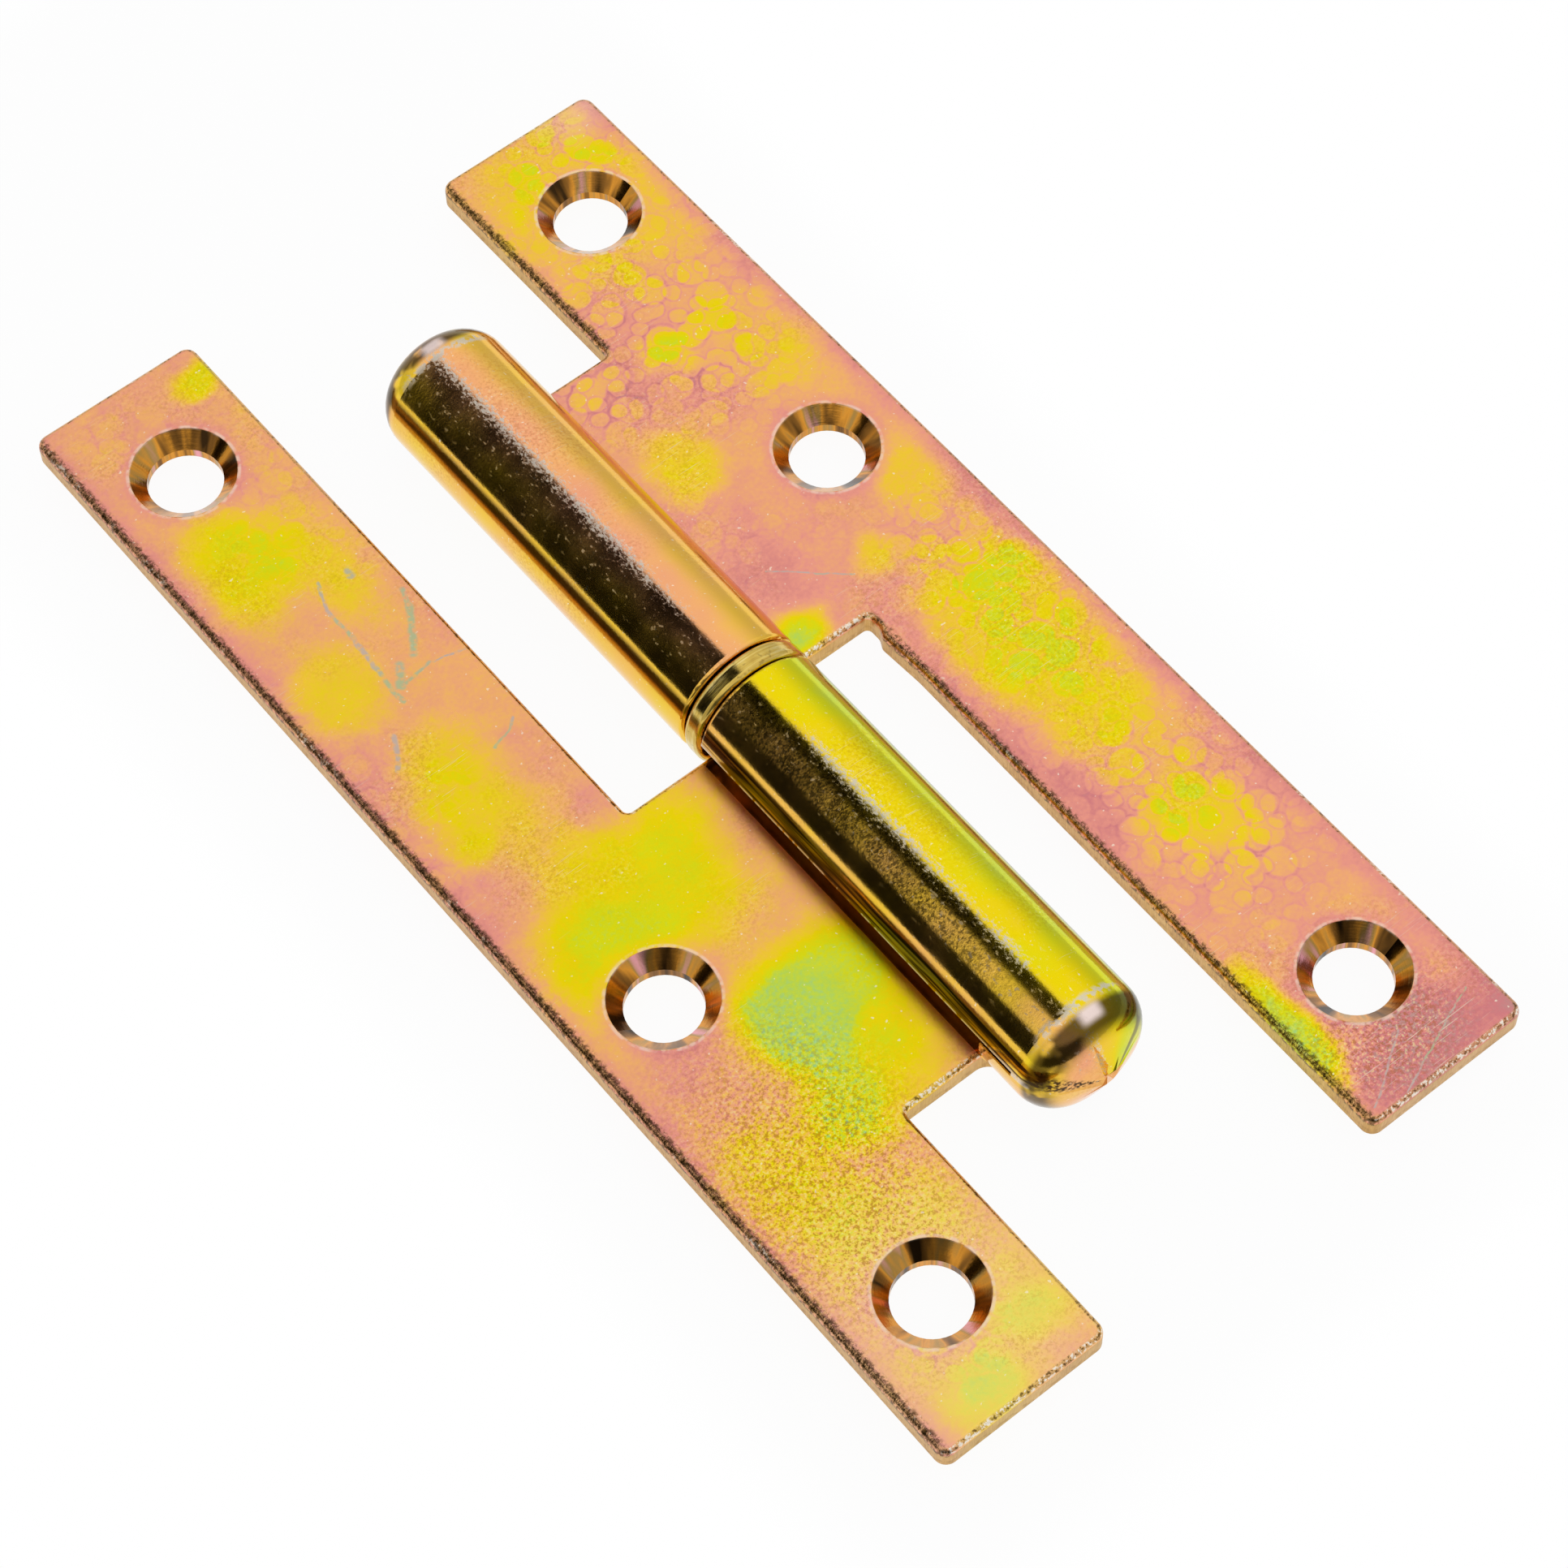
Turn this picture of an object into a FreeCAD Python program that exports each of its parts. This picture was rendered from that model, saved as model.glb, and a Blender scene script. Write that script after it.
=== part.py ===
"""Lift-off hinge: two stamped leaves with rolled, dome-ended knuckles, a pressed pin and a bearing washer.

Millimetres. +Y runs along the pin towards its free end, +X towards the lift-off leaf and +Z out of the
countersunk faces. The origin is under the pin axis, at the middle of the joint, level with the
undersides of the knuckles. The hinge is open flat.
"""
import FreeCAD, Part
import math
import os

V = FreeCAD.Vector

# Sheet and leaf outline
SHEET = 2.0                # thickness of the stamped sheet
LEAF_LENGTH = 110.0        # along the pin
LEAF_REACH = 27.2          # pin axis to the outer edge of a leaf
ARM_EDGE = 12.35           # pin axis to the inner edge of the arms
TAB_END = 33.0             # middle of the joint to the outer end of the tab that carries the knuckle
CORNER_RADIUS = 1.0        # outer corners of the arms
NOTCH_RADIUS = 0.5         # inner corners of the notches
EDGE_ROLL = 0.6            # rounding that the punch leaves round the countersunk face

# Punch marks where two notching strokes meet, on the lift-off leaf's arm beside the joint
NICK_DEPTH = 0.15          # first stroke, cut into the arm
NICK_LENGTH = 1.4          # along the arm
NICK_RAMP = 0.8            # run of the step between the strokes
STEP_PROUD = 0.25          # what the second stroke leaves standing at the step
STEP_RUN = 4.0             # run over which the edge comes back to line
STEP_RADIUS = 0.7          # rounding of the step's corners

# Rolled knuckle
BORE_RADIUS = 3.5          # inside of the roll
CLOSED_GAP = 3.0           # between the countersunk faces when the leaves are folded together
BEND_RADIUS = 1.0          # inside radius of the dip between leaf and roll
LIP_GAP = 2.2              # height of the slot between the free edge of the roll and the leaf
LIP_CHAMFER = 0.25         # worn outer corner of the free edge
MOUTH_CHAMFER = 0.4        # lead-in at the mouth of the bore
END_ROUND = 0.35           # rounded outer edge at the joint end of a knuckle

# Swaged end of the knuckle
EAR_LENGTH = 3.4           # slit roll that runs on past the tab
EAR_FILLET = 1.5           # inner corner between the tab's end and the roll
SEAM_WIDTH = 0.3           # the slit
DOME_WALL = 0.5            # closed roll between the slit and the shoulder
DOME_SHOULDER = 3.1        # outer radius of the shoulder
DOME_SLOPE = 20.0          # degrees by which the end rises to its tip
TIP_PIT_RADIUS = 0.5       # pit where the folds meet
TIP_PIT_DEPTH = 0.5        # below the tip
PLEAT_FLARE = 0.8          # half width of a fold over its depth
SEAM_REACH = 4.4           # run of the fold that carries on the slit, from the tip
SEAM_DEPTH = 0.55          # its depth at the tip
# Folds of the dome: angle round the pin from +X towards +Z, run from the tip, depth at the tip
PLEATS = (
    (80.0, 4.3, 0.60),
    (128.0, 1.8, 0.40),
    (169.0, 3.9, 0.55),
    (216.0, 2.6, 0.45),
    (262.0, 3.6, 0.50),
    (315.0, 2.8, 0.45),
)

# Screw holes
HOLE_RADIUS = 3.0
COUNTERSINK_RADIUS = 4.2   # at the face of the leaf
COUNTERSINK_ANGLE = 90.0   # included angle
HOLE_INSET = 7.3           # outer edge of the leaf to the line of holes
HOLE_END_INSET = 10.0      # end of the leaf to the nearest hole
HOLE_MIDDLE = 15.0         # middle of the joint to the hole beside the tab

# Pin and washer
WASHER_THICKNESS = 1.8
WASHER_PLAY = 0.15         # on each side, between washer and knuckle
WASHER_ROUND = 0.5         # rounded rim
RUNNING_CLEARANCE = 0.07   # radial, between the pin's free half and what turns on it
PIN_SEAT = 33.0            # length pressed into the fixed knuckle
PIN_FREE = 31.0            # length that stands out of the fixed knuckle
PIN_NOSE = 1.2             # rounded tip
PIN_FOOT_CHAMFER = 0.6     # lead-in of the pressed end

# Worked out from the sizes above
KNUCKLE_RADIUS = BORE_RADIUS + SHEET
AXIS_Z = KNUCKLE_RADIUS
AXIS_OVER_FACE = CLOSED_GAP / 2
AXIS_OVER_BACK = AXIS_OVER_FACE + SHEET
BACK_Z = AXIS_Z - AXIS_OVER_BACK
FACE_Z = AXIS_Z - AXIS_OVER_FACE
JOINT_HALF = WASHER_THICKNESS / 2 + WASHER_PLAY
DOME_BASE = TAB_END + EAR_LENGTH
DOME_RISE = math.tan(math.radians(DOME_SLOPE))
DOME_CORNER = DOME_BASE + DOME_WALL + DOME_SHOULDER * math.tan(math.radians(45 - DOME_SLOPE / 2))
DOME_TIP = DOME_CORNER + KNUCKLE_RADIUS * DOME_RISE
SLIT_ANGLE = math.degrees(SEAM_WIDTH / KNUCKLE_RADIUS)
HALF_LENGTH = LEAF_LENGTH / 2
PIN_FREE_RADIUS = BORE_RADIUS - RUNNING_CLEARANCE

AXIS_POINT = V(0, 0, AXIS_Z)
ROLL_AXIS = V(0, -1, 0)    # turns +X towards +Z
MARGIN = 1.0               # how far cutting shapes run past what they cut


def rounded_wire(corners, z):
    """Closed outline at height z from (x, y, radius) corners, each rounded by its radius."""
    points = [V(x, y, z) for x, y, _ in corners]
    spans = []
    for i, (_, _, radius) in enumerate(corners):
        corner = points[i]
        back = (points[i - 1] - corner).normalize()
        ahead = (points[(i + 1) % len(points)] - corner).normalize()
        half = back.getAngle(ahead) / 2
        cut = radius / math.tan(half)
        inward = (back + ahead).normalize()
        middle = corner + inward * (radius / math.sin(half) - radius)
        spans.append((corner + back * cut, middle, corner + ahead * cut, radius))
    edges = []
    for i, (start, middle, end, radius) in enumerate(spans):
        if radius > 0:
            edges.append(Part.Arc(start, middle, end).toShape())
        edges.append(Part.LineSegment(end, spans[(i + 1) % len(spans)][0]).toShape())
    return Part.Wire(edges)


def bend_centre():
    """Centre of the dip between leaf and roll, as (x, z): tangent to the leaf and to the roll."""
    z = AXIS_OVER_BACK + BEND_RADIUS
    x = math.sqrt((KNUCKLE_RADIUS + BEND_RADIUS) ** 2 - z ** 2)
    return x, AXIS_Z - z


def root_angle():
    """Angle below +X, in degrees, at which the roll leaves the dip."""
    x, z = bend_centre()
    return math.degrees(math.atan2(AXIS_Z - z, x))


def lip_angle():
    """Angle below +X, in degrees, at which the free edge of the roll ends over its slot."""
    return math.degrees(math.asin((AXIS_OVER_FACE - LIP_GAP) / KNUCKLE_RADIUS))


def leaf_section():
    """Cross-section of the flat leaf and the dip that leads down into the roll, in the XZ plane."""
    x, z = bend_centre()
    toward_axis = (AXIS_POINT - V(x, 0, z)).normalize()
    halfway = (toward_axis + V(0, 0, 1)).normalize()
    centre = V(x, 0, z)
    over = BEND_RADIUS + SHEET
    edges = [
        Part.LineSegment(V(LEAF_REACH, 0, FACE_Z), V(x, 0, FACE_Z)).toShape(),
        Part.Arc(V(x, 0, FACE_Z), centre + halfway * over, centre + toward_axis * over).toShape(),
        Part.LineSegment(centre + toward_axis * over, centre + toward_axis * BEND_RADIUS).toShape(),
        Part.Arc(centre + toward_axis * BEND_RADIUS, centre + halfway * BEND_RADIUS,
                 V(x, 0, BACK_Z)).toShape(),
        Part.LineSegment(V(x, 0, BACK_Z), V(LEAF_REACH, 0, BACK_Z)).toShape(),
        Part.LineSegment(V(LEAF_REACH, 0, BACK_Z), V(LEAF_REACH, 0, FACE_Z)).toShape(),
    ]
    return Part.Face(Part.Wire(edges))


def joint_corner(nicked):
    """Corners of the notch beside the joint: plain, or with the marks of two notching strokes."""
    if not nicked:
        return [(ARM_EDGE, JOINT_HALF, NOTCH_RADIUS)]
    nick_end = JOINT_HALF - NICK_LENGTH
    step = nick_end - NICK_RAMP
    return [
        (ARM_EDGE + NICK_DEPTH, JOINT_HALF, NOTCH_RADIUS),
        (ARM_EDGE + NICK_DEPTH, nick_end, STEP_RADIUS),
        (ARM_EDGE - STEP_PROUD, step, STEP_RADIUS),
        (ARM_EDGE, step - STEP_RUN, STEP_RUN),
    ]


def blank_outline(nicked):
    """Outline of the blank in plan: two arms, the tab between them, and the notches on both sides."""
    ear_edge = math.sqrt(KNUCKLE_RADIUS ** 2 - AXIS_OVER_BACK ** 2)
    corners = [
        (0, JOINT_HALF, 0),
        *joint_corner(nicked),
        (ARM_EDGE, -HALF_LENGTH, CORNER_RADIUS),
        (LEAF_REACH, -HALF_LENGTH, CORNER_RADIUS),
        (LEAF_REACH, HALF_LENGTH, CORNER_RADIUS),
        (ARM_EDGE, HALF_LENGTH, CORNER_RADIUS),
        (ARM_EDGE, TAB_END, NOTCH_RADIUS),
        (ear_edge, TAB_END, EAR_FILLET),
        (ear_edge, TAB_END + EAR_FILLET + MARGIN, 0),
        (0, TAB_END + EAR_FILLET + MARGIN, 0),
    ]
    return rounded_wire(corners, 0)


def plate(nicked):
    """Flat leaf with its dip: the section run along the pin, cut to the blank's rolled-edge outline."""
    blank = Part.Face(blank_outline(nicked)).extrude(V(0, 0, FACE_Z))
    rim = [edge for edge in blank.Edges if all(abs(v.Z - FACE_Z) < 1e-6 for v in edge.Vertexes)]
    outer_rim = [edge for edge in rim if edge.CenterOfMass.x > BORE_RADIUS]
    blank = blank.makeFillet(EDGE_ROLL, outer_rim)
    strip = leaf_section().extrude(V(0, LEAF_LENGTH, 0))
    strip.translate(V(0, -HALF_LENGTH, 0))
    return strip.common(blank)


def screw_hole(y):
    """Cutting shape of one countersunk hole: a short straight land and a cone up to the face."""
    x = LEAF_REACH - HOLE_INSET
    slope = math.tan(math.radians(COUNTERSINK_ANGLE / 2))
    depth = (COUNTERSINK_RADIUS - HOLE_RADIUS) / slope
    land = Part.makeCylinder(HOLE_RADIUS, SHEET + 2 * MARGIN, V(x, y, BACK_Z - MARGIN))
    cone = Part.makeCone(HOLE_RADIUS, COUNTERSINK_RADIUS + MARGIN * slope, depth + MARGIN,
                         V(x, y, FACE_Z - depth))
    return land.fuse(cone)


def swept_round_pin(profile, start, sweep):
    """Solid from a profile in the plane of +X and the pin axis, turned from start over sweep degrees."""
    face = Part.Face(profile)
    face.rotate(AXIS_POINT, ROLL_AXIS, start)
    return face.revolve(AXIS_POINT, ROLL_AXIS, sweep)


def rolled_tab():
    """Roll from the joint to the end of its slit, from the free edge round to the dip."""
    profile = rounded_wire([
        (BORE_RADIUS + MOUTH_CHAMFER, JOINT_HALF, 0),
        (KNUCKLE_RADIUS, JOINT_HALF, END_ROUND),
        (KNUCKLE_RADIUS, DOME_BASE, 0),
        (BORE_RADIUS, DOME_BASE, 0),
        (BORE_RADIUS, JOINT_HALF + MOUTH_CHAMFER, 0),
    ], AXIS_Z)
    roll = swept_round_pin(profile, -lip_angle(), 360 - root_angle() + lip_angle())
    return roll.cut(worn_lip())


def worn_lip():
    """Cutting shape of the chamfer along the outer corner of the roll's free edge."""
    corners = [
        V(KNUCKLE_RADIUS - LIP_CHAMFER - MARGIN, 0, AXIS_Z - MARGIN),
        V(KNUCKLE_RADIUS + MARGIN, 0, AXIS_Z + LIP_CHAMFER + MARGIN),
        V(KNUCKLE_RADIUS + MARGIN, 0, AXIS_Z - MARGIN),
    ]
    cutter = Part.Face(Part.makePolygon(corners + corners[:1])).extrude(V(0, DOME_BASE, 0))
    cutter.rotate(AXIS_POINT, ROLL_AXIS, -lip_angle())
    return cutter


def rolled_ear():
    """Rest of the roll past the tab: from the dip's angle on to the slit."""
    profile = rounded_wire([
        (BORE_RADIUS, TAB_END, 0),
        (KNUCKLE_RADIUS, TAB_END, 0),
        (KNUCKLE_RADIUS, DOME_BASE, 0),
        (BORE_RADIUS, DOME_BASE, 0),
    ], AXIS_Z)
    return swept_round_pin(profile, -root_angle(), root_angle() - lip_angle() - SLIT_ANGLE)


def pleat(angle, reach, depth):
    """Cutting shape of one fold: a V that is deepest at the tip and runs out at reach from it."""
    tall = depth + MARGIN
    floor = V(0, DOME_TIP - depth, AXIS_Z)
    side = V(0, tall, tall * PLEAT_FLARE)
    other = V(0, tall, -tall * PLEAT_FLARE)
    groove = Part.Face(Part.makePolygon([floor, floor + side, floor + other, floor]))
    cutter = groove.extrude(V(reach, depth - reach * DOME_RISE, 0))
    cutter.rotate(AXIS_POINT, ROLL_AXIS, angle)
    return cutter


def dome():
    """Swaged end: the roll's wall turned in over a shoulder to a blunt cone, with folds that meet in a pit."""
    inner_tip = DOME_TIP - SHEET / math.cos(math.radians(DOME_SLOPE))
    profile = rounded_wire([
        (BORE_RADIUS, DOME_BASE, 0),
        (KNUCKLE_RADIUS, DOME_BASE, 0),
        (KNUCKLE_RADIUS, DOME_CORNER, DOME_SHOULDER),
        (0, DOME_TIP, 0),
        (0, inner_tip, 0),
        (BORE_RADIUS, inner_tip - BORE_RADIUS * DOME_RISE, DOME_SHOULDER - SHEET),
    ], AXIS_Z)
    shell = swept_round_pin(profile, 0, 360)
    folds = [pleat(angle, reach, depth) for angle, reach, depth in PLEATS]
    folds.append(pleat(-lip_angle() - SLIT_ANGLE / 2, SEAM_REACH, SEAM_DEPTH))
    wide = TIP_PIT_RADIUS * (TIP_PIT_DEPTH + MARGIN) / TIP_PIT_DEPTH
    pit = Part.makeCone(0, wide, TIP_PIT_DEPTH + MARGIN, V(0, DOME_TIP - TIP_PIT_DEPTH, AXIS_Z), V(0, 1, 0))
    return shell.cut(folds + [pit])


def leaf(nicked):
    """One leaf with its knuckle, on the +X side with the knuckle at +Y."""
    sheet = plate(nicked).fuse([rolled_tab(), rolled_ear(), dome()])
    holes = [screw_hole(y) for y in (HOLE_END_INSET - HALF_LENGTH, HOLE_MIDDLE, HALF_LENGTH - HOLE_END_INSET)]
    return sheet.cut(holes).Solids[0]


def turned_half_round(shape):
    """The same piece turned half a turn about the vertical."""
    copy = shape.copy()
    copy.rotate(V(0, 0, 0), V(0, 0, 1), 180)
    return copy


def hinge_pin():
    """Round pin: a full-size half pressed into the fixed knuckle and a running half with a round nose."""
    foot = -JOINT_HALF - PIN_SEAT
    tip = PIN_FREE - JOINT_HALF
    profile = rounded_wire([
        (0, foot, 0),
        (BORE_RADIUS - PIN_FOOT_CHAMFER, foot, 0),
        (BORE_RADIUS, foot + PIN_FOOT_CHAMFER, 0),
        (BORE_RADIUS, -JOINT_HALF - MOUTH_CHAMFER, 0),
        (PIN_FREE_RADIUS, -JOINT_HALF, 0),
        (PIN_FREE_RADIUS, tip, PIN_NOSE),
        (0, tip, 0),
    ], AXIS_Z)
    return swept_round_pin(profile, 0, 360)


def bearing_washer():
    """Flat ring with a rounded rim, loose on the pin between the knuckles."""
    half = WASHER_THICKNESS / 2
    profile = rounded_wire([
        (BORE_RADIUS, -half, 0),
        (KNUCKLE_RADIUS, -half, WASHER_ROUND),
        (KNUCKLE_RADIUS, half, WASHER_ROUND),
        (BORE_RADIUS, half, 0),
    ], AXIS_Z)
    return swept_round_pin(profile, 0, 360)


def main():
    nodes = {
        "fixed_leaf": turned_half_round(leaf(nicked=False)),
        "lift_off_leaf": leaf(nicked=True),
        "hinge_pin": hinge_pin(),
        "bearing_washer": bearing_washer(),
    }
    os.makedirs("parts", exist_ok=True)
    for name, shape in nodes.items():
        shape.exportStep("parts/" + name + ".step")
        box = shape.BoundBox
        print(name, "solids", len(shape.Solids), "valid", shape.isValid(), "volume", round(shape.Volume, 2),
              "box", [round(n, 3) for n in (box.XMin, box.YMin, box.ZMin, box.XMax, box.YMax, box.ZMax)])


main()
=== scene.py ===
# %% [markdown]
# # A lift-off hinge in yellow chromate
# The hinge lies open on a white table. Its pieces come from the construction model as a fixed frame:
# two stamped leaves, the pin and the bearing washer. The shapes are already right, so this lesson is
# about finishes: what the plating bath, the press and years in a drawer leave on sheet steel.

# %% Load the frame
import math
import bpy
import numpy as np
from mathutils import Matrix

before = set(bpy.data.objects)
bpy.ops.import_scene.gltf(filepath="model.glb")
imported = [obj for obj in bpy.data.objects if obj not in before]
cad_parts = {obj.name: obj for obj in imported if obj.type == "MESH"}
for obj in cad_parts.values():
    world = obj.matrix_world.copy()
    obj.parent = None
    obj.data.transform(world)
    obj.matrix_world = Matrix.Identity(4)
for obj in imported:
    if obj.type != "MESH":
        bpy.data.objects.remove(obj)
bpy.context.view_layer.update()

# %% [markdown]
# ## The camera
# A long lens looks down on the hinge from its left, near the dome of the fixed knuckle. The numbers
# were found by fitting a pinhole camera to the straight edges of the leaves: focal length in pixels,
# two angles, a small roll and a distance. A camera could also be aimed with a Track To constraint,
# but a matrix built from its three axes leaves nothing to chance.

# %% Set the camera
PICTURE = 1932              # pixels along each side
FOCAL = 5556.0              # pixels
AZIMUTH, ELEVATION, ROLL = (math.radians(a) for a in (-37.489, 58.817, -1.849))
DISTANCE = 0.33586
TARGET = np.array([-0.00114, -0.00559, 0.0020])

towards = np.array([math.sin(AZIMUTH) * math.cos(ELEVATION),
                    -math.cos(AZIMUTH) * math.cos(ELEVATION), math.sin(ELEVATION)])
level = np.array([math.cos(AZIMUTH), math.sin(AZIMUTH), 0.0])
upward = np.cross(towards, level)
right = math.cos(ROLL) * level + math.sin(ROLL) * upward
up = math.cos(ROLL) * upward - math.sin(ROLL) * level
eye = TARGET + towards * DISTANCE

camera = bpy.data.objects.new("camera", bpy.data.cameras.new("camera"))
camera.data.sensor_width = 36.0
camera.data.lens = FOCAL / PICTURE * camera.data.sensor_width
camera.data.clip_start = 0.01
camera.matrix_world = Matrix([[right[i], up[i], towards[i], eye[i]] for i in range(3)] + [[0, 0, 0, 1]])
bpy.context.scene.collection.objects.link(camera)
bpy.context.scene.camera = camera
print("lens", round(camera.data.lens, 2), "mm, eye at", np.round(eye, 4))

# %% [markdown]
# ## Fields
# A finish is a set of numbers that vary over the surface: how thick the chromate film is, how much a
# corner is worn, how rough a scuff is. In Blender each step of such a sum is a Math node. Wiring them
# one by one hides the formula, so a small class lets the sum be written as arithmetic.

# %% Arithmetic that builds nodes
class Field:
    """A number that varies over a surface. Adding, subtracting or multiplying it adds a Math node."""

    def __init__(self, socket):
        self.socket = socket
        self.tree = socket.id_data

    def math(self, operation, *others, clamp=False):
        node = self.tree.nodes.new("ShaderNodeMath")
        node.operation = operation
        node.use_clamp = clamp
        for place, value in zip(node.inputs, (self, *others)):
            feed(place, value)
        return Field(node.outputs[0])

    def __add__(self, other):
        return self.math("ADD", other)

    def __sub__(self, other):
        return self.math("SUBTRACT", other)

    def __mul__(self, other):
        return self.math("MULTIPLY", other)

    def scaled(self, factor, plus):
        """The field times a factor, plus a number or another field, in one node."""
        return self.math("MULTIPLY_ADD", factor, plus)

    def away(self):
        """The opposite of a mask: 1 less the mask."""
        return self.scaled(-1.0, 1.0)

    def step(self, low, high, start=0.0, end=1.0):
        """Smooth rise from start, at or under low, to end, at or over high."""
        node = self.tree.nodes.new("ShaderNodeMapRange")
        node.interpolation_type = "SMOOTHSTEP"
        for place, value in zip(node.inputs, (self, low, high, start, end)):
            feed(place, value)
        return Field(node.outputs[0])

    def near(self, value, full, none):
        """Mask that is 1 within full of a value and 0 from none outwards."""
        return (self - value).math("ABSOLUTE").step(full, none, 1.0, 0.0)


def feed(place, value):
    """Links a field or socket to an input, or sets the input's own number."""
    if isinstance(value, Field):
        value = value.socket
    if isinstance(value, bpy.types.NodeSocket):
        place.id_data.links.new(value, place)
    else:
        place.default_value = value


def either(first, *others):
    """The largest of several masks."""
    for other in others:
        first = first.math("MAXIMUM", other)
    return first


def shown(hexcode):
    """A screen colour such as e08030 as the linear numbers that shaders use."""
    screen = np.array([int(hexcode[i:i + 2], 16) for i in (0, 2, 4)]) / 255
    linear = np.where(screen <= 0.04045, screen / 12.92, ((screen + 0.055) / 1.055) ** 2.4)
    return (*map(float, linear), 1.0)


print("chromate yellow in linear numbers", [round(n, 3) for n in shown("eed50c")])

# %% [markdown]
# ## Places and textures
# Every pattern is laid out in the piece's own millimetres, read from Object coordinates, so it stays
# put when the leaf swings or lifts off. The surface's own normals tell a flat face from a cut side and
# from the rolled rim between them. A UV map could carry the patterns too, but on folded sheet it would
# need seams, and a solid pattern runs round every edge without any.

# %% Helpers that read the surface
MM = 1000                   # millimetres in a metre


def vector(tree, operation, a, b=None, c=None, out=0):
    """One Vector Math node."""
    node = tree.nodes.new("ShaderNodeVectorMath")
    node.operation = operation
    for place, value in zip(node.inputs, (a, b, c)):
        if value is not None:
            feed(place, value)
    return node.outputs[out]


def surface(tree):
    """Position in millimetres and normal, both in the piece's own axes."""
    node = tree.nodes.new("ShaderNodeTexCoord")
    return vector(tree, "MULTIPLY", node.outputs["Object"], (MM, MM, MM)), node.outputs["Normal"]


def parts(tree, socket):
    """The three numbers of a vector, as fields."""
    node = tree.nodes.new("ShaderNodeSeparateXYZ")
    feed(node.inputs[0], socket)
    return [Field(s) for s in node.outputs]


def noise(tree, at, size, detail=2.0, rough=0.5, colour=False):
    """Cloudy noise, 0 to 1, with blotches about size millimetres across."""
    node = tree.nodes.new("ShaderNodeTexNoise")
    feed(node.inputs["Vector"], at)
    feed(node.inputs["Scale"], 1.0 / size)
    feed(node.inputs["Detail"], detail)
    feed(node.inputs["Roughness"], rough)
    return node.outputs["Color"] if colour else Field(node.outputs["Fac"])


def warp(tree, at, size, amount):
    """Moves places about by up to half of amount millimetres, in swirls of the given size."""
    shift = vector(tree, "SUBTRACT", noise(tree, at, size, colour=True), (0.5, 0.5, 0.5))
    return vector(tree, "MULTIPLY_ADD", shift, (amount, amount, amount), at)


print("surface helpers ready")

# %% [markdown]
# ## Marks
# Three kinds of mark are enough for this hinge: a soft oval for stains, stretched noise for handling
# scratches, and a straight stroke for a scratch in a known place. A blend and a ramp then turn masks and
# fields into colour. Marks could be painted by hand, but a formula stays sharp from near by, and one
# number moves it.

# %% Helpers that draw marks
def blot(tree, at, x, y, wide, long):
    """Soft-edged oval stain: 1 at its middle and 0 from its rim outwards."""
    scaled = vector(tree, "MULTIPLY_ADD", at, (1 / wide, 1 / long, 0), (-x / wide, -y / long, 0))
    return Field(vector(tree, "LENGTH", scaled, out=1)).step(0.25, 1.0, 1.0, 0.0)


def streaks(tree, at, turn, thin, run, level):
    """Fine lines: noise drawn out along one direction in the leaf's plane, cut off near its peaks."""
    node = tree.nodes.new("ShaderNodeMapping")
    feed(node.inputs["Vector"], at)
    node.inputs["Rotation"].default_value = (0, 0, math.radians(turn))
    node.inputs["Scale"].default_value = (1 / run, 1 / thin, 1 / run)
    return noise(tree, node.outputs[0], 1.0, 1.0).step(level, level + 0.05)


def stroke(tree, at, start, end, wide):
    """One scratch: 1 on the straight line between two places on the leaf, 0 from its width outwards."""
    run = np.subtract(end, start)
    from_start = vector(tree, "MULTIPLY_ADD", at, (1, 1, 0), (-start[0], -start[1], 0))
    along = Field(vector(tree, "DOT_PRODUCT", from_start, (*(run / (run @ run)), 0), out=1))
    along = along.math("MULTIPLY", 1.0, clamp=True)
    nearest = vector(tree, "SCALE", (*run, 0))
    feed(nearest.node.inputs["Scale"], along)
    return Field(vector(tree, "DISTANCE", from_start, nearest, out=1)).step(wide * 0.3, wide, 1.0, 0.0)


def blend(tree, mask, under, over):
    """Colour over where the mask is 1, colour under where it is 0."""
    node = tree.nodes.new("ShaderNodeMix")
    node.data_type = "RGBA"
    feed(node.inputs[0], mask)
    feed(node.inputs[6], under)
    feed(node.inputs[7], over)
    return node.outputs[2]


def ramp(tree, field, stops):
    """Colour for each value of a field, through (value, screen colour) stops."""
    node = tree.nodes.new("ShaderNodeValToRGB")
    feed(node.inputs["Fac"], field)
    elements = node.color_ramp.elements
    while len(elements) < len(stops):
        elements.new(1.0)
    for element, (value, hexcode) in zip(elements, stops):
        element.position = value
        element.color = shown(hexcode)
    return node.outputs["Color"]


print("mark helpers ready")

# %% [markdown]
# ## Coats
# Real surfaces are layered: film on zinc, then dirt, then wear through both. A coat changes colour and
# roughness through one mask, so a scuff is pale and dull in the same place. Relief is summed up beside
# them, only where it shows. Mixing whole shaders would do as well, but it renders slower and exports
# worse than one shader with three finished inputs.

# %% Coats on one metallic shader
SMOOTHEST = 0.06            # roughness that no coat goes under


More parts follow.
